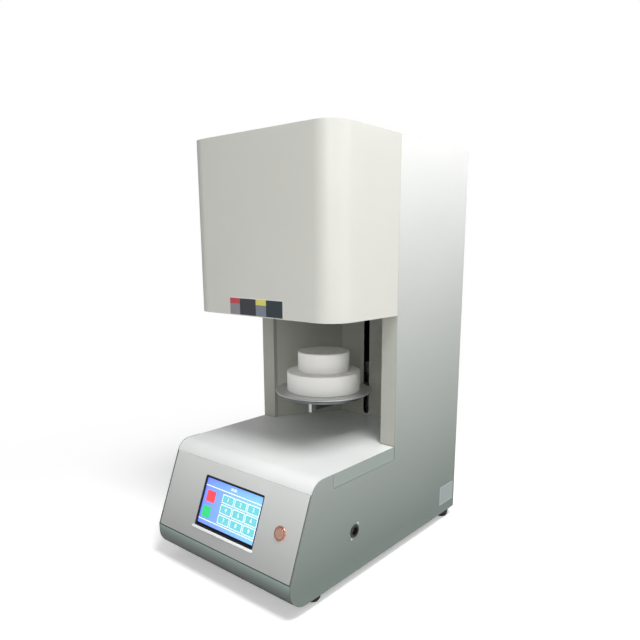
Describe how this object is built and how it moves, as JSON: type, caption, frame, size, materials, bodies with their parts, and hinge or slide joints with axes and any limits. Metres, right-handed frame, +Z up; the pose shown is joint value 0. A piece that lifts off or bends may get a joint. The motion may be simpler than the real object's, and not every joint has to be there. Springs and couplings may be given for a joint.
{
  "type": "dental sintering furnace",
  "caption": "Bench furnace with a sloped touch-screen console and an overhanging hood; a round hearth rides up a slotted alcove on a screw lift into the chamber above.",
  "frame": {"origin": "middle of the footprint, on the surface that the feet stand on", "axes": "+Z up along the lift, -Y towards the user, +X to the right of somebody who faces the console"},
  "size_m": [0.3516, 0.534, 0.7783],
  "materials": {
    "shell_paint": "light grey satin paint",
    "side_paint": "light grey satin paint",
    "deck_paint": "silver grey fine paint",
    "liner_paint": "grey satin paint",
    "fascia": "satin silver",
    "lip_paint": "silver grey paint",
    "zinc_steel": "zinc plated",
    "bright_steel": "brushed",
    "polished_steel": "ground and polished",
    "alloy": "milled",
    "brass": "turned",
    "fibre": "matt fibre board",
    "element": "fired dark grey",
    "holder": "matt ceramic",
    "rubber": "matt black",
    "black_plastic": "black",
    "grey_plastic": "dark grey",
    "rocker_plastic": "gloss red",
    "lit_cap": "lit amber",
    "screen": "lit display glass",
    "board": "green solder mask",
    "core_steel": "varnished laminations"
  },
  "bodies": {
    "furnace": {"base_pan": "zinc_steel", "front_feet": "rubber", "rear_feet": "rubber", "left_side_panel": "side_paint", "right_side_panel": "side_paint", "deck_cover": "deck_paint", "front_panel": "fascia", "front_lip": "lip_paint", "screen_bezel": "black_plastic", "screen_glass": "screen", "screen_module": "grey_plastic", "button_housing": "bright_steel", "side_socket": "black_plastic", "side_socket_screws": "bright_steel", "alcove_liner": "liner_paint", "mast_plate": "zinc_steel", "chamber_plate": "zinc_steel", "mouth_ring": "bright_steel", "hood_shell": "shell_paint", "top_cover": "shell_paint", "rear_panel": "shell_paint", "rear_panel_screws": "bright_steel", "guide_rods": "polished_steel", "lower_bearing_block": "alloy", "upper_bearing_block": "alloy", "lift_motor": "grey_plastic", "motor_bracket": "zinc_steel", "insulation_floor_ring": "fibre", "insulation_wall": "fibre", "insulation_roof": "fibre", "chamber_casing": "alloy", "heating_elements": "element", "element_holders": "holder", "element_clamps": "alloy", "element_straps": "alloy", "thermocouple": "holder", "fan_frame": "black_plastic", "fan_guard": "polished_steel", "mains_inlet": "black_plastic", "switch_housing": "black_plastic", "transformer": "core_steel", "control_board": "board", "power_relay": "alloy", "relay_block": "black_plastic"},
    "hearth_lift": {"lower_hearth_disc": "fibre", "upper_hearth_disc": "fibre", "hearth_tray": "polished_steel", "levelling_studs": "polished_steel", "levelling_springs": "polished_steel", "lift_arm": "bright_steel", "lift_carriage": "alloy", "carriage_bushings": "brass", "lead_nut": "brass"},
    "screw_drive": {"lead_screw": "polished_steel", "shaft_coupler": "alloy", "motor_shaft": "polished_steel"},
    "push_button": {"button_cap": "lit_cap"},
    "mains_rocker": {"switch_rocker": "rocker_plastic"},
    "fan": {"fan_rotor": "black_plastic"}
  },
  "joints": [
    {"name": "hearth_travel", "type": "slide", "parent": "furnace", "child": "hearth_lift", "axis": [0, 0, 1], "range_m": [-0.035, 0.16]},
    {"name": "screw_turn", "type": "hinge", "parent": "furnace", "child": "screw_drive", "pos_m": [0, 0.2049, 0.2], "axis": [0, 0, 1], "range_deg": [-5762, 1262]},
    {"name": "button_press", "type": "slide", "parent": "furnace", "child": "push_button", "axis": [0, 0.9331, -0.3595], "range_m": [0, 0.002], "stiffness_N_per_m": 600, "springref_m": -0.001},
    {"name": "mains_switch", "type": "hinge", "parent": "furnace", "child": "mains_rocker", "pos_m": [-0.04, 0.2594, 0.07], "axis": [-1, 0, 0], "range_deg": [0, 12]},
    {"name": "fan_spin", "type": "hinge", "parent": "furnace", "child": "fan", "pos_m": [0, 0.2484, 0.64], "axis": [0, 1, 0], "continuous": true}
  ],
  "couplings": [
    {"joint": "screw_turn", "follows": "hearth_travel", "rad_per_m": -628.32}
  ]
}
